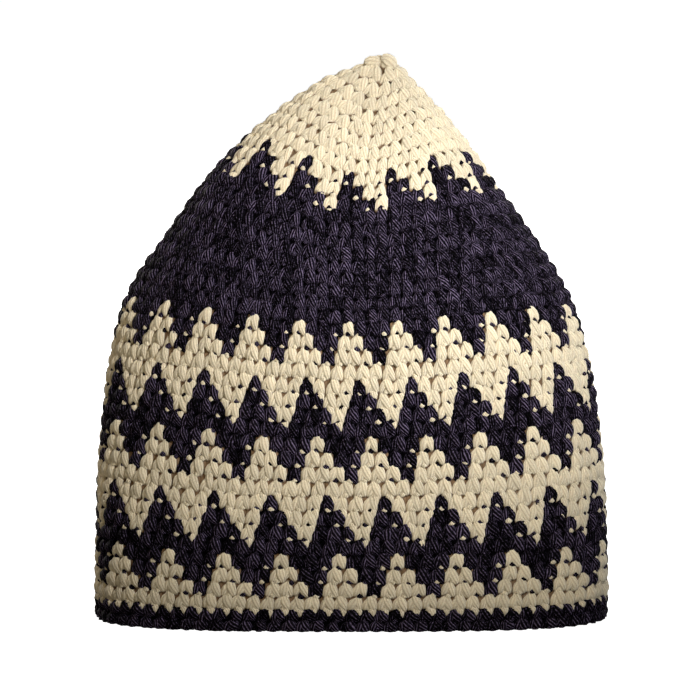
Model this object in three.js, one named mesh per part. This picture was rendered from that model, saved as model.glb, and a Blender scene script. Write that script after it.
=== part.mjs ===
// Crocheted kufi: a tall pointed cap worked in the round from the tip down to
// the rim in two cotton yarns, standing on its rim and pressed flat front to
// back as it comes off the shelf. Millimetres, +Z up, the front faces -Y.
//
// The cap is one fabric, split here along its colour changes. Every colour
// field is a closed wall: a ribbed outer face with one rib for each round, a
// smooth inner face, and the margins that follow the zigzags.

import * as THREE from 'three';

// Driving dimensions.
const WALL = 4.0; // thickness of the crochet, two strands and their loops
const RIB_DEPTH = 1.2; // how far the line between two rounds sinks in
const SEAM_ZIGZAG = 0.13; // clearance along the zigzags, in rounds
const SEAM_LEVEL = 0.07; // clearance along a level colour change, in rounds
const REPEAT = 4; // stitches from one point of a zigzag to the next
const SIDE_RISE = 1.5; // how much sooner the rounds climb as they near the side folds
const RIB_STEP = 0.5; // outer rows: one on each rib, one in each groove
const INNER_STEP = 3; // inner rows, in rounds
const LAST_ROUND = 43; // rounds from the tip to the rim
const INNER_START = 2.2; // the inner face closes under this round
const RING_HOLE_DEPTH = 1.8; // dimple of the starting ring at the tip
const TIP_THICKNESS = 6.5; // fabric between the tip and the hollow
const SHORTEST_STEP = 0.3; // rows nearer to a margin than this part of a step are left out
const ARC_SAMPLES = 360; // steps used to space the columns evenly

// Sections of the cap below a given number of rounds, one row each. left and
// right are the ends of the section along X, front and back along Y, and the
// four heights say how far each of those points stands above the surface.
// power is the exponent of the superellipse: 2 is an ellipse, more is squarer.
const SECTION_COLUMNS = [
  'round', 'left', 'right', 'front', 'back', 'zFront', 'zLeft', 'zRight', 'zBack', 'power',
];
const SECTIONS = [
  [ 0,    7.4,  15.4,  17.6, 24.4, 218.6, 219.2, 218.8, 219.2,  2.0],
  [ 1,    4.7,  19.2,  15.5, 26.5, 214.2, 216.0, 215.0, 215.5,  2.0],
  [ 4,  -13.2,  30.2,   7.0, 29.0, 198.7, 208.6, 203.2, 203.0, 1.95],
  [ 8,  -34.9,  44.2,  -5.0, 32.0, 180.2, 193.2, 187.5, 184.5,  1.9],
  [12,  -54.5,  57.5, -16.0, 36.0, 161.3, 175.0, 168.0, 164.5, 1.85],
  [16,  -70.6,  71.6, -26.0, 39.0, 142.9, 153.3, 149.2, 145.0, 1.85],
  [21,  -88.2,  86.6, -38.0, 42.0, 120.2, 126.7, 123.9, 121.0, 1.85],
  [25,  -94.6,  93.2, -38.8, 42.5,  97.8, 103.3, 101.8,  99.0,  2.1],
  [29,  -97.9,  97.0, -39.5, 43.0,  75.3,  79.8,  79.3,  76.5, 2.35],
  [33,  -99.8,  99.4, -40.8, 43.3,  52.7,  56.2,  55.2,  53.6, 2.65],
  [37, -100.5, 100.4, -42.5, 43.7,  30.1,  32.7,  31.1,  31.0,  2.9],
  [41, -100.8, 100.8, -44.0, 44.0,   8.6,   9.8,   9.4,   9.0,  3.0],
  [43, -100.6, 100.6, -44.0, 44.0,   0.0,   0.0,   0.0,   0.0,  3.0],
].map((row) => Object.fromEntries(row.map((value, i) => [SECTION_COLUMNS[i], value])));

// Colour changes from the tip down. A margin runs in straight lines between
// corners on its high and its low round. crest and dip are the places of its
// first high and low corner, in stitches to the right of the middle of the
// front, and points is how often both come round. The solids on either side
// of a margin share its columns, one at each corner unless columns asks more.
const MARGINS = {
  crown: { high: 9, low: 12, points: 13, crest: -1.1, dip: 2.0, columns: 52 },
  upperTop: { high: 21, low: 24, points: 22, crest: -0.1, dip: 2.3 },
  upperBottom: { high: 25, low: 28, points: 22, crest: 0.7, dip: -0.9 },
  lowerTop: { high: 29, low: 32, points: 22, crest: 1.5, dip: 0.0 },
  lowerBottom: { high: 33, low: 36, points: 22, crest: -1.6, dip: 0.8 },
  hemTop: { high: 37, low: 40, points: 22, crest: -0.8, dip: 1.6 },
  hemBottom: { high: 41, low: 41, points: 22, crest: -0.8, dip: 1.6 },
};

// The solids from the tip down, each between two margins.
const BANDS = [
  { name: 'crown_peak', yarn: 'cream', top: null, bottom: MARGINS.crown },
  { name: 'crown_field', yarn: 'navy', top: MARGINS.crown, bottom: MARGINS.upperTop },
  { name: 'zigzag_upper', yarn: 'cream', top: MARGINS.upperTop, bottom: MARGINS.upperBottom },
  { name: 'band_upper', yarn: 'navy', top: MARGINS.upperBottom, bottom: MARGINS.lowerTop },
  { name: 'zigzag_lower', yarn: 'cream', top: MARGINS.lowerTop, bottom: MARGINS.lowerBottom },
  { name: 'band_lower', yarn: 'navy', top: MARGINS.lowerBottom, bottom: MARGINS.hemTop },
  { name: 'points_hem', yarn: 'cream', top: MARGINS.hemTop, bottom: MARGINS.hemBottom },
  { name: 'edging', yarn: 'navy', top: MARGINS.hemBottom, bottom: null },
];

const YARNS = {
  cream: new THREE.MeshStandardMaterial({ color: 0xe9d7ae, roughness: 0.85, metalness: 0 }),
  navy: new THREE.MeshStandardMaterial({ color: 0x17162b, roughness: 0.8, metalness: 0 }),
};

// One size of the section at a round, on a smooth curve through the rows. The
// slope at a row is that of the line between its neighbours.
function sectionSize(round, key) {
  const last = SECTIONS.length - 1;
  let i = SECTIONS.findIndex((row) => row.round > round) - 1;
  if (i < 0) i = round < SECTIONS[0].round ? 0 : last - 1;
  const slopeAt = (k) => {
    const before = SECTIONS[Math.max(k - 1, 0)];
    const after = SECTIONS[Math.min(k + 1, last)];
    return (after[key] - before[key]) / (after.round - before.round);
  };
  const span = SECTIONS[i + 1].round - SECTIONS[i].round;
  const t = (round - SECTIONS[i].round) / span;
  return (
    SECTIONS[i][key] * (2 * t ** 3 - 3 * t ** 2 + 1) +
    slopeAt(i) * span * (t ** 3 - 2 * t ** 2 + t) +
    SECTIONS[i + 1][key] * (3 * t ** 2 - 2 * t ** 3) +
    slopeAt(i + 1) * span * (t ** 3 - t ** 2)
  );
}

// The section at a round: its sizes, and the lengths along its edge from the
// middle of the front to each even step of the angle.
const sectionCache = new Map();
function sectionAt(round) {
  const cacheKey = round.toFixed(4);
  if (sectionCache.has(cacheKey)) return sectionCache.get(cacheKey);
  const size = {};
  for (const name of SECTION_COLUMNS) size[name] = sectionSize(round, name);
  const lengths = [0];
  let previous = planPoint(size, -Math.PI / 2);
  for (let i = 1; i <= ARC_SAMPLES; i++) {
    const point = planPoint(size, -Math.PI / 2 + (2 * Math.PI * i) / ARC_SAMPLES);
    lengths.push(lengths[i - 1] + Math.hypot(point.x - previous.x, point.y - previous.y));
    previous = point;
  }
  size.lengths = lengths;
  sectionCache.set(cacheKey, size);
  return size;
}

// A point of the section's edge in plan: a superellipse about its middle.
function planPoint(size, angle) {
  const stretch = (value) => Math.sign(value) * Math.abs(value) ** (2 / size.power);
  const halfWidth = (size.right - size.left) / 2;
  const halfDepth = (size.back - size.front) / 2;
  return {
    x: size.left + halfWidth + halfWidth * stretch(Math.cos(angle)),
    y: size.front + halfDepth + halfDepth * stretch(Math.sin(angle)),
  };
}

// The angle that lies this share of the way round the section, counted from
// the middle of the front towards the right.
function angleAt(size, share) {
  const turn = share - Math.floor(share);
  const wanted = turn * size.lengths[ARC_SAMPLES];
  let low = 0;
  let high = ARC_SAMPLES;
  while (high - low > 1) {
    const middle = (low + high) >> 1;
    if (size.lengths[middle] > wanted) high = middle;
    else low = middle;
  }
  const part = (wanted - size.lengths[low]) / (size.lengths[high] - size.lengths[low]);
  return -Math.PI / 2 + (2 * Math.PI * (low + part)) / ARC_SAMPLES;
}

// The smooth skin over the ribs. Heights run from the front and back values
// to the side values with the square of the cosine, the sooner by SIDE_RISE.
function skin(share, round) {
  const size = sectionAt(round);
  const angle = angleAt(size, share);
  const { x, y } = planPoint(size, angle);
  const across = Math.cos(angle);
  const along = Math.sin(angle);
  const faces = (size.zFront * (1 - along) + size.zBack * (1 + along)) / 2;
  const sides = (size.zRight * (1 + across) + size.zLeft * (1 - across)) / 2;
  const z = faces + (sides - faces) * across ** 2 * (1 + SIDE_RISE * along ** 2);
  return new THREE.Vector3(x, y, z);
}

// Outward direction of the skin, square to it along and across the rounds.
// The rim stands on a surface, so its direction there is level.
function outward(share, round) {
  const stepShare = 0.004;
  const stepRound = 0.1;
  const upper = Math.max(round - stepRound, 0);
  const lower = Math.min(round + stepRound, LAST_ROUND);
  const down = skin(share, lower).sub(skin(share, upper));
  const right = skin(share + stepShare, round).sub(skin(share - stepShare, round));
  const direction = down.cross(right);
  if (round >= LAST_ROUND) direction.setZ(0);
  return direction.normalize();
}

// A point of the outer face: the skin, sunk between the rounds.
function outerPoint(share, round) {
  const sink = (RIB_DEPTH * (1 + Math.cos(2 * Math.PI * round))) / 2;
  return skin(share, round).addScaledVector(outward(share, round), -sink);
}

// A point of the inner face, one wall behind the skin.
function innerPoint(share, round) {
  return skin(share, round).addScaledVector(outward(share, round), -WALL);
}

// The corners of a margin in order, by share of the way round.
function corners({ high, low, points, crest, dip }) {
  const list = [];
  for (let i = 0; i < points; i++) {
    list.push({ share: (i + crest / REPEAT) / points, round: high });
    list.push({ share: (i + dip / REPEAT) / points, round: low });
  }
  return list.sort((a, b) => a.share - b.share);
}

// How many rounds down a margin lies at a share of the way round.
function marginRound(margin, share) {
  const list = corners(margin);
  list.push({ share: list[0].share + 1, round: list[0].round });
  const place = share - Math.floor(share - list[0].share);
  const i = list.findIndex((corner) => corner.share > place);
  const before = list[i - 1];
  const after = list[i];
  const part = (place - before.share) / (after.share - before.share);
  return before.round + (after.round - before.round) * part;
}

// Adds places halfway between neighbours, evenly round the cap, up to a count.
function filled(shares, count) {
  const result = [...shares];
  const missing = count - shares.length;
  for (let k = 0; k < missing; k++) {
    const i = Math.floor(((k + 0.5) * shares.length) / missing);
    const next = shares[i + 1] ?? shares[0] + 1;
    result.push((shares[i] + next) / 2);
  }
  return result.sort((a, b) => a - b);
}

// The columns that meet a margin, by share.
function marginColumns(margin) {
  const shares = corners(margin).map(({ share }) => share);
  return filled(shares, margin.columns ?? shares.length);
}

// The columns of a field, by their shares at its top and at its bottom.
function fieldColumns(top, bottom) {
  const above = marginColumns(top ?? bottom);
  const below = marginColumns(bottom ?? top);
  const count = Math.max(above.length, below.length);
  const ends = filled(below, count);
  return filled(above, count).map((share, i) => ({ topShare: share, bottomShare: ends[i] }));
}

function seam(margin) {
  return margin.high === margin.low ? SEAM_LEVEL : SEAM_ZIGZAG;
}

// Rounds at which a column of a band has vertices, from its top to its bottom.
function columnRounds(from, to, step) {
  const rounds = [from];
  for (let k = Math.ceil(from / step); k * step < to; k++) {
    const room = Math.min(k * step - from, to - k * step);
    if (room > SHORTEST_STEP * step) rounds.push(k * step);
  }
  rounds.push(to);
  return rounds;
}

// Collects the vertices and triangles of one solid.
class Wall {
  constructor() {
    this.positions = [];
    this.triangles = [];
  }

  vertex(point) {
    this.positions.push(point.x, point.y, point.z);
    return this.positions.length / 3 - 1;
  }

  triangle(a, b, c, flip = false) {
    this.triangles.push(a, flip ? c : b, flip ? b : c);
  }

  // Fills the strip between two columns of vertices, top to bottom.
  strip(left, right, flip) {
    let i = 0;
    let j = 0;
    while (i < left.length - 1 || j < right.length - 1) {
      const nextLeft = i < left.length - 1 ? left[i + 1].round : Infinity;
      const nextRight = j < right.length - 1 ? right[j + 1].round : Infinity;
      if (nextLeft <= nextRight) {
        this.triangle(left[i].index, left[i + 1].index, right[j].index, flip);
        i += 1;
      } else {
        this.triangle(left[i].index, right[j + 1].index, right[j].index, flip);
        j += 1;
      }
    }
  }

  // Joins the outer and the inner face along a margin.
  edge(outer, inner, outerNext, innerNext, flip) {
    this.triangle(outer.index, outerNext.index, innerNext.index, flip);
    this.triangle(outer.index, innerNext.index, inner.index, flip);
  }

  geometry() {
    const geometry = new THREE.BufferGeometry();
    geometry.setAttribute('position', new THREE.Float32BufferAttribute(this.positions, 3));
    geometry.setIndex(this.triangles);
    geometry.computeVertexNormals();
    return geometry;
  }
}

// One colour field as a closed wall.
function bandGeometry({ top, bottom }) {
  const wall = new Wall();
  const outer = [];
  const inner = [];
  for (const { topShare, bottomShare } of fieldColumns(top, bottom)) {
    const from = top ? marginRound(top, topShare) + seam(top) / 2 : 0;
    const to = bottom ? marginRound(bottom, bottomShare) - seam(bottom) / 2 : LAST_ROUND;
    const shareAt = (round) => topShare + ((bottomShare - topShare) * (round - from)) / (to - from);
    const vertices = (rounds, place) =>
      rounds.map((round) => ({ round, index: wall.vertex(place(shareAt(round), round)) }));
    outer.push(vertices(columnRounds(from, to, RIB_STEP), outerPoint));
    inner.push(vertices(columnRounds(top ? from : INNER_START, to, INNER_STEP), innerPoint));
  }
  const middle = skin(0, 0).add(skin(0.5, 0)).multiplyScalar(0.5);
  const tip = top ? null : wall.vertex(middle.clone().setZ(middle.z - RING_HOLE_DEPTH));
  const tipInside = top ? null : wall.vertex(middle.clone().setZ(middle.z - TIP_THICKNESS));
  outer.forEach((column, i) => {
    const next = (i + 1) % outer.length;
    wall.strip(column, outer[next], false);
    wall.strip(inner[i], inner[next], true);
    wall.edge(column.at(-1), inner[i].at(-1), outer[next].at(-1), inner[next].at(-1), true);
    if (top) {
      wall.edge(column[0], inner[i][0], outer[next][0], inner[next][0], false);
    } else {
      wall.triangle(tip, column[0].index, outer[next][0].index);
      wall.triangle(tipInside, inner[i][0].index, inner[next][0].index, true);
    }
  });
  return wall.geometry();
}

const kufi = new THREE.Group();
for (const band of BANDS) {
  const mesh = new THREE.Mesh(bandGeometry(band), YARNS[band.yarn]);
  mesh.name = band.name;
  kufi.add(mesh);
}

// The origin is under the middle of the whole cap, on the surface it stands on.
const extent = new THREE.Box3().setFromObject(kufi);
const middle = extent.getCenter(new THREE.Vector3());
for (const mesh of kufi.children) mesh.position.set(-middle.x, -middle.y, -extent.min.z);

export default kufi;
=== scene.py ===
"""Dresses the crocheted kufi: single stitches, yarn finishes, studio and camera.

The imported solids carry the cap's size, walls and colour fields. This script
works the crochet itself over the same skin, round by round from the tip to
the rim, and gives every colour field its stitches as one joined mesh.

Lengths in the classes are millimetres, as in the solids, and turn into metres
where a mesh is written.
"""

from __future__ import annotations

import logging
import math
from dataclasses import dataclass, field, replace
from enum import Enum

import bpy
import numpy as np
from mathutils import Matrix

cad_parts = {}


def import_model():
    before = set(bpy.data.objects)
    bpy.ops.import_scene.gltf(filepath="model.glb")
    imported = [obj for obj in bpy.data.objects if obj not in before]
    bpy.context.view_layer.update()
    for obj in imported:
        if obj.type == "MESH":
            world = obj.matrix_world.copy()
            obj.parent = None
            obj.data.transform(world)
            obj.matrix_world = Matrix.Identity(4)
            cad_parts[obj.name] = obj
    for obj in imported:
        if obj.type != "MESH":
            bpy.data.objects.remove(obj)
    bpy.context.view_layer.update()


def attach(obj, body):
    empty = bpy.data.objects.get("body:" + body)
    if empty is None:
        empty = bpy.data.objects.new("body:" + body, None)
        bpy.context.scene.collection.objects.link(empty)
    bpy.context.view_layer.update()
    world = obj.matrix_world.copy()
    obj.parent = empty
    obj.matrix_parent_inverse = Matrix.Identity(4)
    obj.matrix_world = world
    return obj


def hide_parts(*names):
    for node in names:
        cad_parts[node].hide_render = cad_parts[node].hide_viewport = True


LOG = logging.getLogger("kufi")

MM = 0.001
ROOT_BODY = "root"
RIM_STITCHES = 88
LAST_ROUND = 43
STRAND_MAP = "Strand"
BAKE_MAP = "OFBake"
TONE = "Tone"
DEPTH = "Depth"
WHITE = (1.0, 1.0, 1.0, 1.0)
# The two poles of a strand lie this many half widths past its end rings.
POLE_REACH = (-0.6, 0.6)


class Yarn(Enum):
    """The two cottons of the cap, by the record's material slot."""

    CREAM = "cream_yarn"
    NAVY = "navy_yarn"


SECTION_COLUMNS = (
    "round", "left", "right", "front", "back", "z_front", "z_left", "z_right", "z_back", "power",
)
SECTIONS = (
    (0, 7.4, 15.4, 17.6, 24.4, 218.6, 219.2, 218.8, 219.2, 2.0),
    (1, 4.7, 19.2, 15.5, 26.5, 214.2, 216.0, 215.0, 215.5, 2.0),
    (4, -13.2, 30.2, 7.0, 29.0, 198.7, 208.6, 203.2, 203.0, 1.95),
    (8, -34.9, 44.2, -5.0, 32.0, 180.2, 193.2, 187.5, 184.5, 1.9),
    (12, -54.5, 57.5, -16.0, 36.0, 161.3, 175.0, 168.0, 164.5, 1.85),
    (16, -70.6, 71.6, -26.0, 39.0, 142.9, 153.3, 149.2, 145.0, 1.85),
    (21, -88.2, 86.6, -38.0, 42.0, 120.2, 126.7, 123.9, 121.0, 1.85),
    (25, -94.6, 93.2, -38.8, 42.5, 97.8, 103.3, 101.8, 99.0, 2.1),
    (29, -97.9, 97.0, -39.5, 43.0, 75.3, 79.8, 79.3, 76.5, 2.35),
    (33, -99.8, 99.4, -40.8, 43.3, 52.7, 56.2, 55.2, 53.6, 2.65),
    (37, -100.5, 100.4, -42.5, 43.7, 30.1, 32.7, 31.1, 31.0, 2.9),
    (41, -100.8, 100.8, -44.0, 44.0, 8.6, 9.8, 9.4, 9.0, 3.0),
    (43, -100.6, 100.6, -44.0, 44.0, 0.0, 0.0, 0.0, 0.0, 3.0),
)
SIDE_RISE = 1.5


@dataclass
class CapSkin:
    """The smooth skin over the crests of the stitches, sampled on a grid.

    A place on it is a share of the way round, counted from the middle of the
    front to the right, and a number of rounds down from the tip.
    """

    rows_per_round: int = 8
    posts: int = 1056
    arc_steps: int = 1440
    points: np.ndarray = field(init=False)
    normals: np.ndarray = field(init=False)
    round_height: np.ndarray = field(init=False)
    girth: np.ndarray = field(init=False)

    def __post_init__(self) -> None:
        """Fills the grid from the section table."""
        rounds = np.linspace(0, LAST_ROUND, LAST_ROUND * self.rows_per_round + 1)
        sizes = self.sizes_at(rounds)
        angle = self.even_angles(sizes)
        self.points = self.cap_points(sizes, angle)
        across = np.roll(self.points, -1, 1) - np.roll(self.points, 1, 1)
        down = np.gradient(self.points, axis=0)
        normal = np.cross(down, across)
        self.normals = normal / np.linalg.norm(normal, axis=2, keepdims=True)
        self.round_height = np.linalg.norm(down, axis=2) * self.rows_per_round
        girth = (np.linalg.norm(across, axis=2) / 2).sum(1)
        self.girth = np.repeat(girth[:, None], self.posts, axis=1)

    @staticmethod
    def sizes_at(rounds: np.ndarray) -> dict[str, np.ndarray]:
        """Reads every column of the section table at the given rounds.

        Between two rows runs the cubic whose slope at a row is that of the
        line between the row's neighbours.

        Args:
            rounds: Rounds down from the tip.

        Returns:
            Column name to its values, one for each round.
        """
        table = np.array(SECTIONS, float)
        knots = table[:, 0]
        before = np.maximum(np.arange(len(knots)) - 1, 0)
        after = np.minimum(np.arange(len(knots)) + 1, len(knots) - 1)
        slopes = (table[after] - table[before]) / (knots[after] - knots[before])[:, None]
        i = np.clip(np.searchsorted(knots, rounds, side="right") - 1, 0, len(knots) - 2)
        span = (knots[i + 1] - knots[i])[:, None]
        t = (rounds[:, None] - knots[i][:, None]) / span
        values = (
            table[i] * (2 * t**3 - 3 * t**2 + 1)
            + slopes[i] * span * (t**3 - 2 * t**2 + t)
            + table[i + 1] * (3 * t**2 - 2 * t**3)
            + slopes[i + 1] * span * (t**3 - t**2)
        )
        return dict(zip(SECTION_COLUMNS, values.T))

    @staticmethod
    def plan(sizes: dict[str, np.ndarray], angle: np.ndarray) -> tuple[np.ndarray, np.ndarray]:
        """Places points of each section in plan, on a superellipse about its middle.

        Args:
            sizes: Sizes of the sections.
            angle: Angles, one row for each section.

        Returns:
            X and Y of the points.
        """
        bend = 2 / sizes["power"][:, None]
        across = np.sign(np.cos(angle)) * np.abs(np.cos(angle)) ** bend
        along = np.sign(np.sin(angle)) * np.abs(np.sin(angle)) ** bend
        half_width = (sizes["right"] - sizes["left"])[:, None] / 2
        half_depth = (sizes["back"] - sizes["front"])[:, None] / 2
        x = sizes["left"][:, None] + half_width * (1 + across)
        y = sizes["front"][:, None] + half_depth * (1 + along)
        return x, y

    def even_angles(self, sizes: dict[str, np.ndarray]) -> np.ndarray:
        """Finds the angles that stand at even lengths of fabric round each section.

        Args:
            sizes: Sizes of the sections.

        Returns:
            Angles, one row for each section and one column for each post.
        """
        turn = np.linspace(-math.pi / 2, 1.5 * math.pi, self.arc_steps + 1)
        fine = np.broadcast_to(turn, (len(sizes["round"]), len(turn)))
        x, y = self.plan(sizes, fine)
        steps = np.hypot(np.diff(x, axis=1), np.diff(y, axis=1))
        lengths = np.concatenate([np.zeros((len(x), 1)), np.cumsum(steps, axis=1)], axis=1)
        lengths /= lengths[:, -1:]
        shares = np.arange(self.posts) / self.posts
        return np.stack([np.interp(shares, row, turn) for row in lengths])

    def cap_points(self, sizes: dict[str, np.ndarray], angle: np.ndarray) -> np.ndarray:
        """Places points in space.

        Heights run from the front and back values to the side values with
        the square of the angle's cosine, the sooner by the side rise times
        the square of its sine.

        Args:
            sizes: Sizes of the sections.
            angle: Angles, one row for each section.

        Returns:
            Points by section, post and axis.
        """
        x, y = self.plan(sizes, angle)
        across = np.cos(angle)
        along = np.sin(angle)
        z_front, z_back, z_left, z_right = (
            sizes[name][:, None] for name in ("z_front", "z_back", "z_left", "z_right")
        )
        faces = (z_front * (1 - along) + z_back * (1 + along)) / 2
        sides = (z_right * (1 + across) + z_left * (1 - across)) / 2
        weight = across**2 * (1 + SIDE_RISE * along**2)
        return np.stack([x, y, faces + (sides - faces) * weight], axis=2)

    def read(self, grid: np.ndarray, share: np.ndarray, rounds: np.ndarray) -> np.ndarray:
        """Reads a grid between its samples, in straight lines both ways.

        Args:
            grid: Values by section and post, and by axis where it has one.
            share: Shares of the way round.
            rounds: Rounds down from the tip.

        Returns:
            The values at the places.
        """
        column = np.mod(share, 1) * self.posts
        row = np.clip(rounds, 0, LAST_ROUND) * self.rows_per_round
        left = np.floor(column).astype(int)
        upper = np.minimum(np.floor(row).astype(int), len(grid) - 2)
        u = column - left
        v = row - upper
        if grid.ndim == 3:
            u, v = u[..., None], v[..., None]
        left %= self.posts
        right = (left + 1) % self.posts
        top = grid[upper, left] * (1 - u) + grid[upper, right] * u
        bottom = grid[upper + 1, left] * (1 - u) + grid[upper + 1, right] * u
        return top * (1 - v) + bottom * v

    def place(self, share: np.ndarray, rounds: np.ndarray, lift: np.ndarray) -> np.ndarray:
        """Places points over the skin: the skin's point plus lift along its normal.

        Args:
            share: Shares of the way round.
            rounds: Rounds down from the tip.
            lift: Millimetres outward.

        Returns:
            Points in millimetres.
        """
        normal = self.read(self.normals, share, rounds)
        normal /= np.linalg.norm(normal, axis=-1, keepdims=True)
        return self.read(self.points, share, rounds) + normal * lift[..., None]


@dataclass(frozen=True)
class StitchChart:
    """How many stitches each round has, where they stand and their yarn.

    Growth is in stitches a round, and rests over the crown rounds, where the
    crown's cream points hang into the navy. A lead is where stitch 0 stands,
    in stitches to the right, and a lean is the change of the lead a round.
    """

    tip_growth: float = 5.2
    growth: int = 4
    crown_stitches: int = 52
    crown_rounds: tuple[int, int] = (10, 12)
    crown_lead: float = -1.1
    crown_lean: float = 0.05
    wall_start: int = 22
    wall_lead: float = -0.1
    wall_lean: float = -0.295
    band_starts: tuple[int, ...] = (22, 30)
    hem_start: int = 38
    hem_full: int = 41
    repeat: int = 4

    def count(self, round_number: int) -> int:
        """Gives the number of stitches in a round: even growth, a rest, even growth.

        Args:
            round_number: The round, 1 at the tip.

        Returns:
            The number of stitches.
        """
        first, last = self.crown_rounds
        if round_number < first:
            return round(self.tip_growth * round_number)
        grown = self.crown_stitches + self.growth * max(round_number - last, 0)
        return min(grown, RIM_STITCHES)

    def lead(self, round_number: int) -> float:
        """Gives where stitch 0 of a round stands.

        Args:
            round_number: The round, 1 at the tip.

        Returns:
            Stitches to the right of the front's middle.
        """
        first, last = self.crown_rounds
        if round_number <= last:
            return self.crown_lead + self.crown_lean * (round_number - first)
        if round_number >= self.wall_start:
            return self.wall_lead + self.wall_lean * (round_number - self.wall_start)
        part = (round_number - last) / (self.wall_start - last)
        return self.lead(last) * (1 - part) + self.wall_lead * part

    def cream(self, round_number: int, index: np.ndarray) -> np.ndarray:
        """Says which stitches of a round are cream.

        The repeat is four stitches. Going down, a cream triangle grows by a
        stitch a round to the right, and the navy triangle under it does too.

        Args:
            round_number: The round, 1 at the tip.
            index: Stitch numbers.

        Returns:
            True for cream.
        """
        turn = np.mod(index, self.repeat)
        first, last = self.crown_rounds
        if round_number < first:
            return np.ones(len(index), bool)
        if round_number <= last:
            return turn >= round_number - first + 1
        for start in self.band_starts:
            step = round_number - start
            if 0 <= step < self.repeat:
                return turn <= step
            if self.repeat <= step < 2 * self.repeat - 1:
                return np.mod(turn - self.repeat // 2, self.repeat) > step - self.repeat
        if self.hem_start <= round_number <= self.hem_full:
            return turn <= round_number - self.hem_start
        return np.zeros(len(index), bool)


@dataclass
class StitchList:
    """Stitches of one kind in one colour field, one entry each."""

    rounds: np.ndarray
    index: np.ndarray
    count: np.ndarray
    lead: np.ndarray
    slip: np.ndarray

    def __len__(self) -> int:
        """Gives the number of stitches."""
        return len(self.rounds)

    def loosened(self, rng: np.random.Generator, across: float, down: float) -> StitchList:
        """Gives the same stitches, each slipped a little off its even place.

        Args:
            rng: The random source.
            across: Spread of the slips across, in stitches.
            down: Spread of the slips down, in rounds.

        Returns:
            The slipped stitches.
        """
        slip = rng.normal(0, 1, (len(self), 2)) * (across, down)
        return replace(self, slip=self.slip + slip)

    def at_colour_change(self, chart: StitchChart, yarn: Yarn, reach: float) -> StitchList:
        """Picks the stitches above a stitch of the other yarn.

        Under each stitch, a little to its right, two stitches of the next
        round meet. The stitch is picked where either has the other yarn.

        Args:
            chart: The stitch chart.
            yarn: The stitches' own yarn.
            reach: How far to the right the two stitches meet, in stitches.

        Returns:
            The picked stitches.
        """
        picked = np.zeros(len(self), bool)
        for number in np.unique(self.rounds[self.rounds < LAST_ROUND]):
            row = self.rounds == number
            share = (self.index[row] + self.lead[row] + reach) / self.count[row]
            count = chart.count(number + 1)
            below = np.floor(share * count - chart.lead(number + 1)).astype(int)
            own = yarn is Yarn.CREAM
            left = chart.cream(number + 1, np.mod(below, count)) != own
            right = chart.cream(number + 1, np.mod(below + 1, count)) != own
            picked[row] = left | right
        return StitchList(*(part[picked] for part in vars(self).values()))

    def share(self, across: np.ndarray) -> np.ndarray:
        """Turns places across the stitches into shares of the way round.

        Args:
            across: Places in stitches, with a row for each stitch.

        Returns:
            The shares.
        """
        shape = (-1,) + (1,) * (across.ndim - 1)
        centre = (self.index + self.lead).reshape(shape)
        return (centre + across) / self.count.reshape(shape)

    @classmethod
    def gather(cls, chart: StitchChart, yarn: Yarn, first: int, last: int, ahead: int) -> StitchList:
        """Lists the stitches of a field.

        Args:
            chart: The stitch chart.
            yarn: The field's yarn.
            first: The field's first round.
            last: The field's last round.
            ahead: How many stitches to the right the yarn is looked up.

        Returns:
            The stitches whose looked-up yarn is the field's.
        """
        found = []
        for number in range(first, last + 1):
            count = chart.count(number)
            index = np.arange(count)
            cream = chart.cream(number, np.mod(index + ahead, count))
            own = index[cream == (yarn is Yarn.CREAM)]
            row = np.stack([np.full(len(own), number), own, np.full(len(own), count)], axis=1)
            lead = np.full(len(own), chart.lead(number))
            found.append((row, lead))
        rows = np.concatenate([row for row, _ in found])
        leads = np.concatenate([lead for _, lead in found])
        return cls(rows[:, 0], rows[:, 1], rows[:, 2], leads, np.zeros((len(rows), 2)))


@dataclass(frozen=True)
class StrandForm:
    """The form of one strand of a stitch, as a short table along its run.

    Each row of run holds: place across the stitch, rounds down from the
    stitch's top line, lift of the middle in millimetres, half the width in
    stitches, half the thickness in millimetres. power is the exponent of the
    section's superellipse, sides the number of its corners. The last three
    are spreads from strand to strand: wander of the place, slant of the run,
    and swell of both the size and the lift.
    """

    run: tuple[tuple[float, float, float, float, float], ...]
    sides: int
    power: float = 2.0
    wander: float = 0.03
    slant: float = 0.08
    swell: float = 0.09


RIGHT_LEG = StrandForm(
    run=(
        (0.02, -0.14, -2.25, 0.15, 0.80),
        (0.06, 0.09, -1.40, 0.30, 1.20),
        (0.13, 0.40, -0.90, 0.36, 1.35),
        (0.22, 0.71, -1.10, 0.33, 1.30),
        (0.31, 0.95, -1.80, 0.24, 1.10),
        (0.36, 1.14, -2.70, 0.10, 0.60),
    ),
    sides=8,
    power=2.3,
)
LEFT_LEG = StrandForm(
    run=(
        (0.02, 0.00, -2.40, 0.10, 0.70),
        (-0.04, 0.19, -1.60, 0.21, 1.05),
        (-0.16, 0.45, -1.15, 0.32, 1.25),
        (-0.30, 0.71, -1.30, 0.30, 1.20),
        (-0.39, 0.94, -1.85, 0.22, 1.05),
        (-0.42, 1.12, -2.70, 0.08, 0.60),
    ),
    sides=8,
    power=2.3,
)
TOP_LOOP = StrandForm(
    run=(
        (0.10, 0.88, -2.00, 0.17, 0.90),
        (0.12, 1.08, -1.00, 0.31, 1.20),
        (0.14, 1.34, -0.95, 0.24, 1.05),
        (0.17, 1.72, -1.80, 0.07, 0.50),
    ),
    sides=6,
)
EYE = StrandForm(
    run=(
        (-0.05, 0.82, -1.30, 0.18, 0.95),
        (-0.02, 1.03, -1.05, 0.24, 1.00),
    ),
    sides=5,
)
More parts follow.
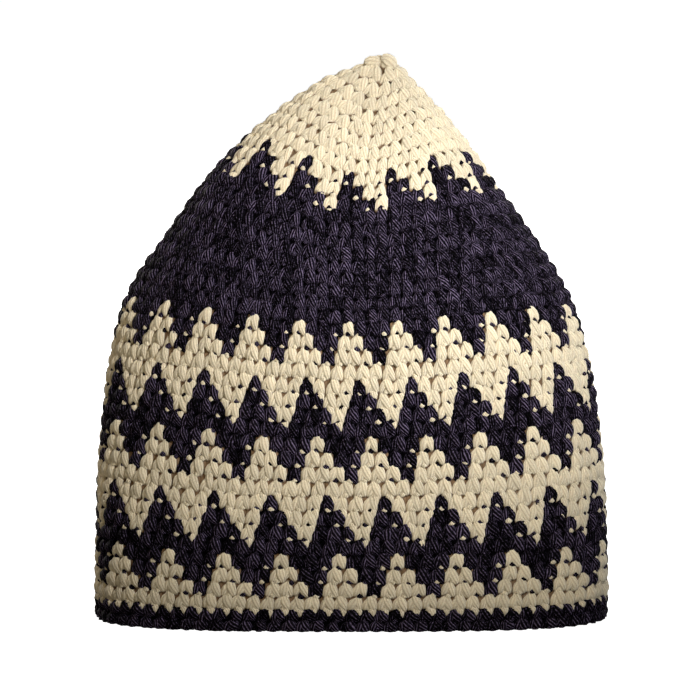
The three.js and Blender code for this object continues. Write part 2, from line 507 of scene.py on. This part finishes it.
BACKING = StrandForm(
    run=(
        (0.00, 0.02, -3.30, 0.58, 0.75),
        (0.00, 0.30, -2.85, 0.60, 1.00),
        (0.00, 0.62, -2.85, 0.60, 0.95),
        (0.00, 0.98, -3.30, 0.58, 0.75),
    ),
    sides=6,
    power=4.0,
    wander=0.0,
    slant=0.0,
    swell=0.0,
)


@dataclass
class MeshParts:
    """Vertices, faces and their maps, gathered strand by strand."""

    points: list[np.ndarray] = field(default_factory=list)
    corners: list[np.ndarray] = field(default_factory=list)
    sizes: list[np.ndarray] = field(default_factory=list)
    strand_uv: list[np.ndarray] = field(default_factory=list)
    bake_uv: list[np.ndarray] = field(default_factory=list)
    tone: list[np.ndarray] = field(default_factory=list)
    depth: list[np.ndarray] = field(default_factory=list)
    vertices: int = 0

    def add(
        self,
        points: np.ndarray,
        corners: np.ndarray,
        sizes: np.ndarray,
        strand_uv: np.ndarray,
        bake_uv: np.ndarray,
        tone: np.ndarray,
        depth: np.ndarray,
    ) -> None:
        """Adds a batch of closed shapes.

        Args:
            points: Vertices in millimetres.
            corners: The vertex of each face corner, counted from 0 in the batch.
            sizes: Corners of each face.
            strand_uv: The strand map by face corner.
            bake_uv: The bake map by face corner.
            tone: The tone by vertex.
            depth: The depth by vertex.
        """
        self.points.append(points)
        self.corners.append(corners + self.vertices)
        self.sizes.append(sizes)
        self.strand_uv.append(strand_uv)
        self.bake_uv.append(bake_uv)
        self.tone.append(tone)
        self.depth.append(depth)
        self.vertices += len(points)

    def write(self, name: str) -> bpy.types.Object:
        """Writes one mesh object, in metres, with its maps and attributes.

        Args:
            name: Name of the object and its mesh.

        Returns:
            The new object, at the origin and in the scene.
        """
        points = np.concatenate(self.points) * MM
        corners = np.concatenate(self.corners).astype(np.int32)
        sizes = np.concatenate(self.sizes)
        mesh = bpy.data.meshes.new(name)
        mesh.vertices.add(len(points))
        mesh.vertices.foreach_set("co", points.ravel().astype(np.float32))
        mesh.loops.add(len(corners))
        mesh.loops.foreach_set("vertex_index", corners)
        mesh.polygons.add(len(sizes))
        starts = np.concatenate([[0], np.cumsum(sizes)[:-1]]).astype(np.int32)
        mesh.polygons.foreach_set("loop_start", starts)
        mesh.polygons.foreach_set("use_smooth", np.ones(len(sizes), bool))
        mesh.update(calc_edges=True)
        for layer, values in ((STRAND_MAP, self.strand_uv), (BAKE_MAP, self.bake_uv)):
            uv = mesh.uv_layers.new(name=layer)
            uv.uv.foreach_set("vector", np.concatenate(values).ravel().astype(np.float32))
        for layer, values in ((TONE, self.tone), (DEPTH, self.depth)):
            attribute = mesh.attributes.new(layer, "FLOAT", "POINT")
            attribute.data.foreach_set("value", np.concatenate(values).astype(np.float32))
        mesh.validate()
        piece = bpy.data.objects.new(name, mesh)
        bpy.context.scene.collection.objects.link(piece)
        return piece


@dataclass(frozen=True)
class Cell:
    """The part of a stitch's square on the bake map that one strand fills."""

    left: float
    right: float
    low: float
    high: float


@dataclass
class StrandMaker:
    """Lays strands of one form over many stitches at once.

    A point's depth value falls from 1 at the skin to 0 at the depth span, in
    millimetres, and the finishes paint shade with it: the lower it is, the
    darker the colour. On the crown, down to the round crown_last, the strands
    are wider by the crown fullness and the depth span is the crown's own, which
    paints darker shade between the rounds.
    """

    skin: CapSkin
    rng: np.random.Generator
    depth_span: float = 3.6
    crown_depth_span: float = 2.9
    crown_fullness: float = 1.15
    crown_last: int = 9
    twist_range: tuple[float, float] = (0.3, 1.5)

    def lay(
        self, parts: MeshParts, stitches: StitchList, form: StrandForm, cell: Cell
    ) -> None:
        """Adds one strand to each stitch: an ellipse carried along its run.

        The point at angle a round the section lies at the run's place, plus
        half the width times cos a square to the run along the skin, plus
        half the thickness times sin a outward. Both ends close to a pole.

        Args:
            parts: Where the mesh goes.
            stitches: The stitches.
            form: The strand's form.
            cell: The strand's part of the stitch's square on the bake map.
        """
        number = len(stitches)
        run = np.array(form.run)
        slant = self.rng.normal(0, form.slant, (number, 1)) * (run[:, 1] - run[:, 1].mean())
        shift = stitches.slip + self.rng.normal(0, form.wander, (number, 2))
        across = run[:, 0] + shift[:, :1] + slant
        down = run[:, 1] + shift[:, 1:]
        scale = 1 + self.rng.normal(0, form.swell, (number, 1))
        on_crown = (stitches.rounds <= self.crown_last)[:, None]
        width = run[:, 3] * scale * np.where(on_crown, self.crown_fullness, 1.0)
        thick = run[:, 4] * scale
        lift = run[:, 2] + self.rng.normal(0, form.swell, (number, 1))
        top = (stitches.rounds - 1)[:, None]
        middle_share = stitches.share(across)
        pitch = self.skin.read(self.skin.girth, middle_share, top + down) / stitches.count[:, None]
        height = self.skin.read(self.skin.round_height, middle_share, top + down)
        run_across = np.gradient(across, axis=1) * pitch
        run_down = np.gradient(down, axis=1) * height
        length = np.hypot(run_across, run_down)
        angle = 2 * math.pi * np.arange(form.sides) / form.sides + math.pi / 2
        bend = 2 / form.power
        cosine = np.sign(np.cos(angle)) * np.abs(np.cos(angle)) ** bend
        sine = np.sign(np.sin(angle)) * np.abs(np.sin(angle)) ** bend
        side = width[..., None] * cosine
        s = across[..., None] + side * (run_down / length)[..., None]
        t = down[..., None] - side * (pitch * run_across / length / height)[..., None]
        n = lift[..., None] + thick[..., None] * sine
        rings = self.skin.place(stitches.share(s), top[..., None] + t, n)
        ends = [0, -1]
        reach = np.array(POLE_REACH) * width[:, ends] * pitch[:, ends] / height[:, ends]
        poles = self.skin.place(middle_share[:, ends], top + down[:, ends] + reach, lift[:, ends])
        points = np.concatenate([rings.reshape(number, -1, 3), poles], axis=1)
        # Depth values for painted shade: the finish darkens low-lying points towards its recess shade
        # colour.
        depth = np.concatenate([n.reshape(number, -1), lift[:, ends]], axis=1)
        depth /= np.where(on_crown, self.crown_depth_span, self.depth_span)
        tone = self.rng.random(number)
        self.add_strands(parts, points, form.sides, cell, tone, np.clip(1 + depth, 0, 1))

    def add_strands(
        self,
        parts: MeshParts,
        points: np.ndarray,
        sides: int,
        cell: Cell,
        tone: np.ndarray,
        depth: np.ndarray,
    ) -> None:
        """Adds strands as closed shapes, with their maps.

        Args:
            parts: Where the mesh goes.
            points: Vertices by strand: its rings, then its two poles.
            sides: Corners of a ring.
            cell: The strands' part of a stitch's square on the bake map.
            tone: The tone by strand.
            depth: The depth by strand and vertex.
        """
        number, vertices = points.shape[:2]
        corners, sizes, strand_uv = self.pattern((vertices - 2) // sides, sides)
        offsets = np.arange(number)[:, None] * vertices
        parts.add(
            points.reshape(-1, 3),
            (corners[None] + offsets).ravel(),
            np.tile(sizes, number),
            self.twisted(strand_uv, number),
            self.bake_places(strand_uv, number, cell),
            np.repeat(tone, vertices),
            depth.ravel(),
        )

    def twisted(self, strand_uv: np.ndarray, number: int) -> np.ndarray:
        """Repeats the strand map, each strand turned and twisted its own way.

        The way round is shifted by a random turn, and the way along, which
        drives the twist, is stretched by a random factor.

        Args:
            strand_uv: The strand map of one strand.
            number: Number of strands.

        Returns:
            The strand map of all the strands.
        """
        turn = self.rng.random((number, 1))
        stretch = self.rng.uniform(*self.twist_range, (number, 1))
        around = strand_uv[:, 0] + turn
        along = strand_uv[:, 1] * stretch
        return np.stack([around, along], axis=2).reshape(-1, 2)

    @staticmethod
    def pattern(rows: int, sides: int) -> tuple[np.ndarray, np.ndarray, np.ndarray]:
        """Numbers the faces of a strand: quads between rings, fans at the poles.

        Args:
            rows: Number of rings.
            sides: Corners of a ring.

        Returns:
            Corner numbers, corners per face, and the strand map, with the
            way round in U and the way along in V.
        """
        k, side = np.meshgrid(np.arange(rows - 1), np.arange(sides), indexing="ij")
        k, side = k.ravel(), side.ravel()
        after = (side + 1) % sides
        quads = np.stack(
            [k * sides + side, k * sides + after, (k + 1) * sides + after, (k + 1) * sides + side],
            axis=1,
        )
        u = np.stack([side, side + 1, side + 1, side], axis=1) / sides
        v = np.stack([k, k, k + 1, k + 1], axis=1) + 1
        side = np.arange(sides)
        after = (side + 1) % sides
        first = rows * sides
        last = (rows - 1) * sides
        head = np.stack([np.full(sides, first), after, side], axis=1)
        foot = np.stack([np.full(sides, first + 1), last + side, last + after], axis=1)
        u_head = np.stack([side + 0.5, side + 1, side], axis=1) / sides
        u_foot = np.stack([side + 0.5, side, side + 1], axis=1) / sides
        v_head = np.broadcast_to([0, 1, 1], (sides, 3))
        v_foot = np.broadcast_to([rows + 1, rows, rows], (sides, 3))
        corners = np.concatenate([quads.ravel(), head.ravel(), foot.ravel()])
        sizes = np.concatenate([np.full(len(quads), 4), np.full(2 * sides, 3)])
        u = np.concatenate([u.ravel(), u_head.ravel(), u_foot.ravel()])
        v = np.concatenate([v.ravel(), v_head.ravel(), v_foot.ravel()]) / (rows + 1)
        return corners, sizes, np.stack([u, v], axis=1)

    @staticmethod
    def bake_places(strand_uv: np.ndarray, number: int, cell: Cell) -> np.ndarray:
        """Spreads the strands over the bake map, one square for each stitch.

        Args:
            strand_uv: The strand map of one strand.
            number: Number of strands.
            cell: The part of the square that the strand fills.

        Returns:
            The bake map of all the strands.
        """
        squares = math.ceil(math.sqrt(number))
        column = np.arange(number) % squares
        row = np.arange(number) // squares
        u = cell.left + (cell.right - cell.left) * strand_uv[:, 0]
        v = cell.low + (cell.high - cell.low) * strand_uv[:, 1]
        places = np.stack([column[:, None] + u, row[:, None] + v], axis=2) / squares
        return places.reshape(-1, 2)


@dataclass
class TipKnot:
    """The knot of the starting ring: short fat strands laid over the tip.

    Each row of strands holds the start and the end of a strand's middle
    line as x, y and z, its rise above the straight line half way, and half
    its thickness.
    """

    maker: StrandMaker
    strands: tuple[tuple[float, ...], ...] = (
        (5.2, 18.6, 215.6, 11.2, 18.2, 216.6, 0.5, 2.1),
        (11.8, 17.4, 217.4, 17.0, 18.6, 214.2, 1.0, 2.6),
        (12.2, 20.4, 217.6, 17.2, 21.6, 215.0, 0.8, 2.2),
        (6.8, 22.6, 215.8, 15.0, 24.2, 215.6, 0.8, 2.1),
    )
    rows: int = 8
    sides: int = 12
    end_taper: float = 0.5
    taper_power: float = 4.0
    tone: float = 0.5
    cell: Cell = Cell(0.02, 0.98, 0.02, 0.98)

    def work(self, name: str) -> bpy.types.Object:
        """Carries a circle along each arched middle line.

        The middle line at t is start + (end - start) t, raised by the rise
        times 4 t (1 - t). The radius shrinks towards both ends by the end
        taper times a power of the distance from the middle.

        Args:
            name: The piece's name.

        Returns:
            The knot's object.
        """
        table = np.array(self.strands)
        number = len(table)
        t = np.linspace(0, 1, self.rows)
        start, end = table[:, None, 0:3], table[:, None, 3:6]
        arch = 4 * t * (1 - t) * table[:, 6:7]
        up = np.array([0.0, 0.0, 1.0])
        line = start + (end - start) * t[:, None] + arch[..., None] * up
        radius = table[:, 7:8] * (1 - self.end_taper * np.abs(2 * t - 1) ** self.taper_power)
        tangent = np.gradient(line, axis=1)
        tangent /= np.linalg.norm(tangent, axis=2, keepdims=True)
        side = np.cross(tangent, up)
        side /= np.linalg.norm(side, axis=2, keepdims=True)
        lift = np.cross(side, tangent)
        angle = 2 * math.pi * np.arange(self.sides)[:, None] / self.sides
        ring = np.cos(angle) * side[:, :, None] + np.sin(angle) * lift[:, :, None]
        rings = line[:, :, None] + radius[..., None, None] * ring
        ends = [0, -1]
        reach = radius[:, ends, None] * tangent[:, ends] * np.array(POLE_REACH)[:, None]
        points = np.concatenate([rings.reshape(number, -1, 3), line[:, ends] + reach], axis=1)
        parts = MeshParts()
        tone = np.full(number, self.tone)
        depth = np.ones(points.shape[:2])
        self.maker.add_strands(parts, points, self.sides, self.cell, tone, depth)
        return parts.write(name)


@dataclass(frozen=True)
class CottonYarn:
    """A matt cotton yarn of several plies, dyed one colour.

    The plies run along each strand and twist round it slowly. Their crests
    are lighter than the lines between them, which are painted shade in the
    grooves, and strands that lie low under the skin are darker, painted shade
    in the recesses between stitches.
    """

    yarn: Yarn
    crest: tuple[float, float, float]
    line: tuple[float, float, float]
    # Painted shade: the colour of strands that lie low under the skin, in the recesses between stitches.
    recess_shade: tuple[float, float, float]
    sheen_tint: tuple[float, float, float]
    sheen: float
    roughness: float
    specular: float
    gain_range: tuple[float, float]
    recess_shade_range: tuple[float, float]
    plies: float = 9.0
    twist: float = 1.3
    ply_round: float = 0.5
    ply_wobble: float = 2.4
    wobble_scale: float = 420.0
    wobble_detail: float = 1.0
    ply_height: float = 0.0003
    bump_strength: float = 1.0
    fibre_scale: float = 2200.0
    fibre_detail: float = 2.0
    fibre_height: float = 0.6
    fibre_tone_and_glint: float = 4.0
    mottle_and_glint_range: tuple[float, float] = (1.7, 3.4)
    sheen_roughness: float = 0.5
    diffuse_roughness: float = 1.0

    def material(self) -> bpy.types.Material:
        """Builds the finish as a node material.

        Returns:
            The material, named for the record's slot.
        """
        material = bpy.data.materials.new(self.yarn.value)
        material.use_nodes = True
        material.diffuse_color = (*self.crest, 1.0)
        bench = NodeBench(material.node_tree)
        place = bench.add("ShaderNodeUVMap", uv_map=STRAND_MAP)
        split = bench.add("ShaderNodeSeparateXYZ")
        bench.feed(split.inputs["Vector"], place.outputs["UV"])
        ply = self.ply_wave(bench, split.outputs["X"], split.outputs["Y"])
        fibre = bench.noise(self.fibre_scale, self.fibre_detail)
        bump = bench.add("ShaderNodeBump")
        bump.inputs["Strength"].default_value = self.bump_strength
        bump.inputs["Distance"].default_value = self.ply_height
        bench.feed(bump.inputs["Height"], bench.math("MULTIPLY_ADD", fibre, self.fibre_height, ply))
        shader = bench.add("ShaderNodeBsdfPrincipled")
        shader.inputs["Roughness"].default_value = self.roughness
        shader.inputs["Diffuse Roughness"].default_value = self.diffuse_roughness
        shader.inputs["Specular IOR Level"].default_value = self.specular
        shader.inputs["Sheen Weight"].default_value = self.sheen
        shader.inputs["Sheen Roughness"].default_value = self.sheen_roughness
        shader.inputs["Sheen Tint"].default_value = (*self.sheen_tint, 1.0)
        bench.feed(shader.inputs["Base Color"], self.colour(bench, ply, fibre))
        bench.feed(shader.inputs["Normal"], bump.outputs["Normal"])
        output = bench.add("ShaderNodeOutputMaterial")
        bench.feed(output.inputs["Surface"], shader.outputs["BSDF"])
        return material

    def ply_wave(
        self, bench: NodeBench, around: bpy.types.NodeSocket, along: bpy.types.NodeSocket
    ) -> bpy.types.NodeSocket:
        """Gives the plies: half of 1 plus cos(turns), raised to a power.

        The turns are the plies times the way round the strand, plus the
        twist times the way along it, plus a slow noise.

        Args:
            bench: The node bench.
            around: The way round the strand, 0 to 1.
            along: The way along the strand, 0 to 1.

        Returns:
            1 on a ply's crest and 0 between two plies.
        """
        turns = bench.math("MULTIPLY", around, self.plies * 2 * math.pi)
        twisted = bench.math("MULTIPLY_ADD", along, self.twist * 2 * math.pi, turns)
        wobble = bench.noise(self.wobble_scale, self.wobble_detail)
        bent = bench.math("MULTIPLY_ADD", wobble, self.ply_wobble, twisted)
        half = bench.math("MULTIPLY_ADD", bench.math("COSINE", bent), 0.5, 0.5)
        kept = bench.math("MAXIMUM", half, 0.0)
        return bench.math("POWER", kept, self.ply_round)

    def colour(
        self, bench: NodeBench, ply: bpy.types.NodeSocket, fibre: bpy.types.NodeSocket
    ) -> bpy.types.NodeSocket:
        """Mixes the colours: ply lines as painted shade in the grooves, with painted
        highlights on the navy's narrow crests; painted shade by depth; and a tone
        for each stitch, whose fibre specks are painted glints on the navy.

        Args:
            bench: The node bench.
            ply: The ply wave.
            fibre: The fibre noise.

        Returns:
            The colour.
        """
        # Ply lines are painted shade in the grooves between plies; the navy's narrow light crests are
        # painted highlights.
        face = bench.mix((*self.line, 1.0), (*self.crest, 1.0), ply)
        # Painted shade by depth: low-lying strands turn towards the recess shade colour.
        depth = bench.add("ShaderNodeAttribute", attribute_name=DEPTH).outputs["Fac"]
        unshaded_share = bench.span(depth, self.recess_shade_range, (0.0, 1.0))
        coloured = bench.mix((*self.recess_shade, 1.0), face, unshaded_share)
        tone = bench.add("ShaderNodeAttribute", attribute_name=TONE).outputs["Fac"]
        # Random tone for each stitch plus fibre specks; on the navy, with its wide gain range, the
        # specks are painted glints of light on the fibres.
        mottle_and_glint = bench.math("MULTIPLY_ADD", fibre, self.fibre_tone_and_glint, tone)
        gain = bench.span(mottle_and_glint, self.mottle_and_glint_range, self.gain_range)
        grey = bench.add("ShaderNodeCombineColor")
        for channel in ("Red", "Green", "Blue"):
            bench.feed(grey.inputs[channel], gain)
        return bench.mix(coloured, grey.outputs["Color"], 1.0, "MULTIPLY")


class NodeBench:
    """Adds and links shader nodes of one tree."""

    def __init__(self, tree: bpy.types.NodeTree) -> None:
        """Clears the tree.

        Args:
            tree: The material's node tree.
        """
        self.tree = tree
        tree.nodes.clear()

    def add(self, kind: str, **settings: str) -> bpy.types.Node:
        """Adds a node and sets its properties.

        Args:
            kind: The node's type name.
            settings: Its properties.

        Returns:
            The node.
        """
        node = self.tree.nodes.new(kind)
        for name, value in settings.items():
            setattr(node, name, value)
        return node

    def feed(self, entry: bpy.types.NodeSocket, value: object) -> None:
        """Links an output to an input, or sets the input to a plain value.

        Args:
            entry: The input.
            value: The output or the plain value.
        """
        if isinstance(value, bpy.types.NodeSocket):
            self.tree.links.new(value, entry)
        else:
            entry.default_value = value

    def math(self, operation: str, *values: object) -> bpy.types.NodeSocket:
        """Adds a math node and feeds its inputs.

        Args:
            operation: What it works out.
            values: What its inputs get, in order.

        Returns:
            Its result.
        """
        node = self.add("ShaderNodeMath", operation=operation)
        for entry, value in zip(node.inputs, values):
            self.feed(entry, value)
        return node.outputs["Value"]

    def noise(self, scale: float, detail: float) -> bpy.types.NodeSocket:
        """Adds a noise in object space.

        Args:
            scale: Waves to the metre.
            detail: How many finer waves lie on them.

        Returns:
            Its value.
        """
        place = self.add("ShaderNodeTexCoord")
        node = self.add("ShaderNodeTexNoise")
        node.inputs["Scale"].default_value = scale
        node.inputs["Detail"].default_value = detail
        self.feed(node.inputs["Vector"], place.outputs["Object"])
        return node.outputs["Fac"]

    def mix(self, low: object, high: object, factor: object, blend: str = "MIX") -> bpy.types.NodeSocket:
        """Mixes two colours.

        Args:
            low: The colour at factor 0.
            high: The colour that is laid on it.
            factor: How much of it is laid on.
            blend: How it is laid on.

        Returns:
            The mixed colour.
        """
        node = self.add("ShaderNodeMix", data_type="RGBA", blend_type=blend)
        entries = {entry.identifier: entry for entry in node.inputs}
        self.feed(entries["Factor_Float"], factor)
        self.feed(entries["A_Color"], low)
        self.feed(entries["B_Color"], high)
        return {result.identifier: result for result in node.outputs}["Result_Color"]

    def span(
        self, value: bpy.types.NodeSocket, source: tuple[float, float], target: tuple[float, float]
    ) -> bpy.types.NodeSocket:
        """Maps a value smoothly from one range to another, held at both ends.

        Args:
            value: The value.
            source: The range that it comes from.
            target: The range that it is mapped to.

        Returns:
            The mapped value.
        """
        node = self.add("ShaderNodeMapRange", interpolation_type="SMOOTHSTEP")
        self.feed(node.inputs["Value"], value)
        for entry, bound in zip(("From Min", "From Max", "To Min", "To Max"), source + target):
            node.inputs[entry].default_value = bound
        return node.outputs["Result"]


@dataclass(frozen=True)
class FieldPlan:
    """One piece of the cap: its name, the solid it stands for, yarn and rounds."""

    name: str
    node: str
    yarn: Yarn
    first: int
    last: int


FIELDS = (
    FieldPlan("peak_stitches", "crown_peak", Yarn.CREAM, 1, 12),
    FieldPlan("field_stitches_upper", "crown_field", Yarn.NAVY, 10, 17),
    FieldPlan("field_stitches_lower", "crown_field", Yarn.NAVY, 18, 24),
    FieldPlan("zigzag_upper_stitches", "zigzag_upper", Yarn.CREAM, 22, 28),
    FieldPlan("band_upper_stitches", "band_upper", Yarn.NAVY, 26, 32),
    FieldPlan("zigzag_lower_stitches", "zigzag_lower", Yarn.CREAM, 30, 36),
    FieldPlan("band_lower_stitches", "band_lower", Yarn.NAVY, 34, 40),
    FieldPlan("hem_points_stitches", "points_hem", Yarn.CREAM, 38, 41),
    FieldPlan("edging_stitches", "edging", Yarn.NAVY, 42, 43),
)
KNOT = FieldPlan("starting_knot", "crown_peak", Yarn.CREAM, 0, 0)


@dataclass
class Crochet:
    """Works the stitches of every colour field over the skin."""

    skin: CapSkin
    chart: StitchChart
    seed: int = 20
    looseness: tuple[float, float] = (0.035, 0.05)
    loop_reach: float = 0.2
    cells: dict[str, Cell] = field(
        default_factory=lambda: {
            "right": Cell(0.02, 0.32, 0.02, 0.98),
            "left": Cell(0.35, 0.62, 0.02, 0.98),
            "loop": Cell(0.65, 0.81, 0.35, 0.98),
            "eye": Cell(0.65, 0.81, 0.03, 0.30),
            "backing": Cell(0.84, 0.98, 0.02, 0.98),
        }
    )

    def tie(self, plan: FieldPlan) -> bpy.types.Object:
        """Ties the knot of the starting ring on the tip."""
        return TipKnot(StrandMaker(self.skin, np.random.default_rng(self.seed))).work(plan.name)

    def work(self, plan: FieldPlan) -> bpy.types.Object:
        """Works one field as a joined mesh.

        Args:
            plan: The field.

        Returns:
            The field's object.
        """
        rng = np.random.default_rng(self.seed + plan.first)
        maker = StrandMaker(self.skin, rng)
        even = StitchList.gather(self.chart, plan.yarn, plan.first, plan.last, 0)
        beside = StitchList.gather(self.chart, plan.yarn, plan.first, plan.last, 1)
        own = even.loosened(rng, *self.looseness)
        parts = MeshParts()
        maker.lay(parts, own, RIGHT_LEG, self.cells["right"])
        maker.lay(parts, own, LEFT_LEG, self.cells["left"])
        if plan.yarn is Yarn.CREAM:
            edge = own.at_colour_change(self.chart, plan.yarn, self.loop_reach)
            maker.lay(parts, edge, TOP_LOOP, self.cells["loop"])
        maker.lay(parts, beside, EYE, self.cells["eye"])
        maker.lay(parts, even, BACKING, self.cells["backing"])
        return parts.write(plan.name)


@dataclass(frozen=True)
class Lamp:
    """A square area light that looks from its place at its aim.

    Place, aim and size are in metres, power is in watts, and spread is the
    full angle of the beam in degrees.
    """

    name: str
    place: tuple[float, float, float]
    aim: tuple[float, float, float]
    size: float
    power: float
    colour: tuple[float, float, float]
    spread: float = 180.0

    def hang(self) -> bpy.types.Object:
        """Hangs the light, itself out of the camera's sight.

        Returns:
            The light.
        """
        data = bpy.data.lights.new(self.name, "AREA")
        data.size = self.size
        data.energy = self.power
        data.color = self.colour
        data.spread = math.radians(self.spread)
        lamp = bpy.data.objects.new(self.name, data)
        lamp.visible_camera = False
        away = np.array(self.place) - np.array(self.aim)
        lamp.location = self.place
        lamp.rotation_euler = (
            math.atan2(math.hypot(away[0], away[1]), away[2]),
            0.0,
            math.atan2(away[1], away[0]) + math.pi / 2,
        )
        bpy.context.scene.collection.objects.link(lamp)
        return lamp


CROWN = (0.028, -0.03, 0.15)
MIDDLE = (0.0, 0.0, 0.1)
LAMPS = (
    Lamp(
        "key", place=(0.2, -0.41, 0.325), aim=CROWN, size=0.14, power=0.18,
        colour=(0.95, 0.98, 1.0), spread=40.0,
    ),
    Lamp(
        "fill", place=(-0.15, -0.6, 0.3), aim=CROWN, size=0.3, power=0.08,
        colour=(1.0, 0.86, 0.54), spread=42.0,
    ),
    Lamp(
        "back", place=(0.6, 1.6, 0.9), aim=MIDDLE, size=1.0, power=24.0,
        colour=(1.0, 0.97, 0.93),
    ),
    Lamp(
        "left", place=(-1.0, 1.3, 0.7), aim=MIDDLE, size=1.0, power=20.0,
        colour=(1.0, 0.95, 0.88),
    ),
)


@dataclass(frozen=True)
class Studio:
    """A pale floor, the lamps and the camera of the photograph's view.

    Distances are in metres, the elevation in degrees, and the camera's
    sensor in millimetres.
    """

    elevation: float = 7.0
    distance: float = 2.2
    pixels_per_mm: float = 2.551
    frame_pixels: float = 700.0
    aim: tuple[float, float, float] = (-0.0006, 0.0, 0.1046)
    sensor_width: float = 36.0
    clip_end: float = 50.0
    floor_half: float = 6.0
    floor_cells: int = 8
    floor_colour: tuple[float, float, float, float] = (0.9, 0.9, 0.9, 1.0)
    floor_roughness: float = 0.9
    floor_glow: float = 0.97
    air_strength: float = 0.06

    def floor(self) -> bpy.types.Object:
        """Lays the pale floor: a flat grid that glows a little.

        Its glow and bounce light stay off the cap, whose shaded side is dark.

        Returns:
            The floor.
        """
        posts = self.floor_cells + 1
        x, y = np.meshgrid(np.linspace(-1, 1, posts), np.linspace(-1, 1, posts))
        points = np.stack([x.ravel(), y.ravel(), np.zeros(x.size)], axis=1) * self.floor_half
        cells = np.arange(self.floor_cells)
        corner = (cells[:, None] * posts + cells).ravel()
        faces = np.stack([corner, corner + 1, corner + posts + 1, corner + posts], axis=1)
        mesh = bpy.data.meshes.new("floor")
        mesh.from_pydata(points.tolist(), [], faces.tolist())
        material = bpy.data.materials.new("pale_floor")
        material.use_nodes = True
        shader = material.node_tree.nodes["Principled BSDF"]
        shader.inputs["Base Color"].default_value = self.floor_colour
        shader.inputs["Roughness"].default_value = self.floor_roughness
        shader.inputs["Emission Color"].default_value = WHITE
        shader.inputs["Emission Strength"].default_value = self.floor_glow
        mesh.materials.append(material)
        floor = bpy.data.objects.new("floor", mesh)
        floor.visible_diffuse = False
        floor.visible_glossy = False
        bpy.context.scene.collection.objects.link(floor)
        return floor

    def air(self) -> None:
        """Fills the room with even pale light."""
        world = bpy.data.worlds.new("room")
        world.use_nodes = True
        back = world.node_tree.nodes["Background"]
        back.inputs["Color"].default_value = WHITE
        back.inputs["Strength"].default_value = self.air_strength
        bpy.context.scene.world = world
        bpy.context.scene.view_settings.view_transform = "Standard"

    def camera(self) -> bpy.types.Object:
        """Sets the camera at the photograph's angle above the floor.

        Returns:
            The camera.
        """
        data = bpy.data.cameras.new("camera")
        data.sensor_width = self.sensor_width
        focal_pixels = self.pixels_per_mm / MM * self.distance
        data.lens = focal_pixels / self.frame_pixels * data.sensor_width
        data.clip_end = self.clip_end
        camera = bpy.data.objects.new("camera", data)
        angle = math.radians(self.elevation)
        camera.location = (
            self.aim[0],
            self.aim[1] - self.distance * math.cos(angle),
            self.aim[2] + self.distance * math.sin(angle),
        )
        camera.rotation_euler = (math.pi / 2 - angle, 0.0, 0.0)
        bpy.context.scene.collection.objects.link(camera)
        bpy.context.scene.camera = camera
        return camera

    def build(self) -> None:
        """Builds camera, floor, lamps and room."""
        self.camera()
        self.floor()
        for lamp in LAMPS:
            lamp.hang()
        self.air()


CREAM_COTTON = CottonYarn(
    yarn=Yarn.CREAM,
    crest=(0.89, 0.80, 0.62),
    line=(0.72, 0.59, 0.42),
    # Painted shade of the recesses between stitches.
    recess_shade=(0.28, 0.17, 0.09),
    sheen_tint=(1.0, 0.95, 0.85),
    sheen=0.1,
    roughness=0.7,
    specular=0.3,
    gain_range=(0.88, 1.10),
    recess_shade_range=(0.40, 0.74),
    bump_strength=0.8,
)
NAVY_COTTON = CottonYarn(
    yarn=Yarn.NAVY,
    # Narrow light crests on near-black lines: painted highlights on the fibres.
    crest=(0.076, 0.059, 0.096),
    line=(0.0015, 0.0010, 0.0022),
    # Painted shade of the recesses between stitches.
    recess_shade=(0.001, 0.0007, 0.0015),
    sheen_tint=(0.62, 0.55, 0.75),
    sheen=0.0,
    roughness=0.6,
    specular=0.03,
    # Wide gain: the fibre specks become painted glints.
    gain_range=(0.06, 4.0),
    mottle_and_glint_range=(1.8, 3.6),
    recess_shade_range=(0.35, 0.9),
    twist=3.6,
    ply_round=4.2,
    fibre_scale=1500.0,
)


def main() -> None:
    """Loads the frame, works the cap and sets the studio."""
    logging.basicConfig(level=logging.INFO, format="%(name)s: %(message)s")
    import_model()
    finishes = {cotton.yarn: cotton.material() for cotton in (CREAM_COTTON, NAVY_COTTON)}
    crochet = Crochet(CapSkin(), StitchChart())
    pieces = [(plan, crochet.work(plan)) for plan in FIELDS]
    pieces.append((KNOT, crochet.tie(KNOT)))
    for plan, piece in pieces:
        piece.data.materials.append(finishes[plan.yarn])
        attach(piece, ROOT_BODY)
        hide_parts(plan.node)
        LOG.info("%s: %d faces", plan.name, len(piece.data.polygons))
    Studio().build()


if __name__ == "__main__":
    main()
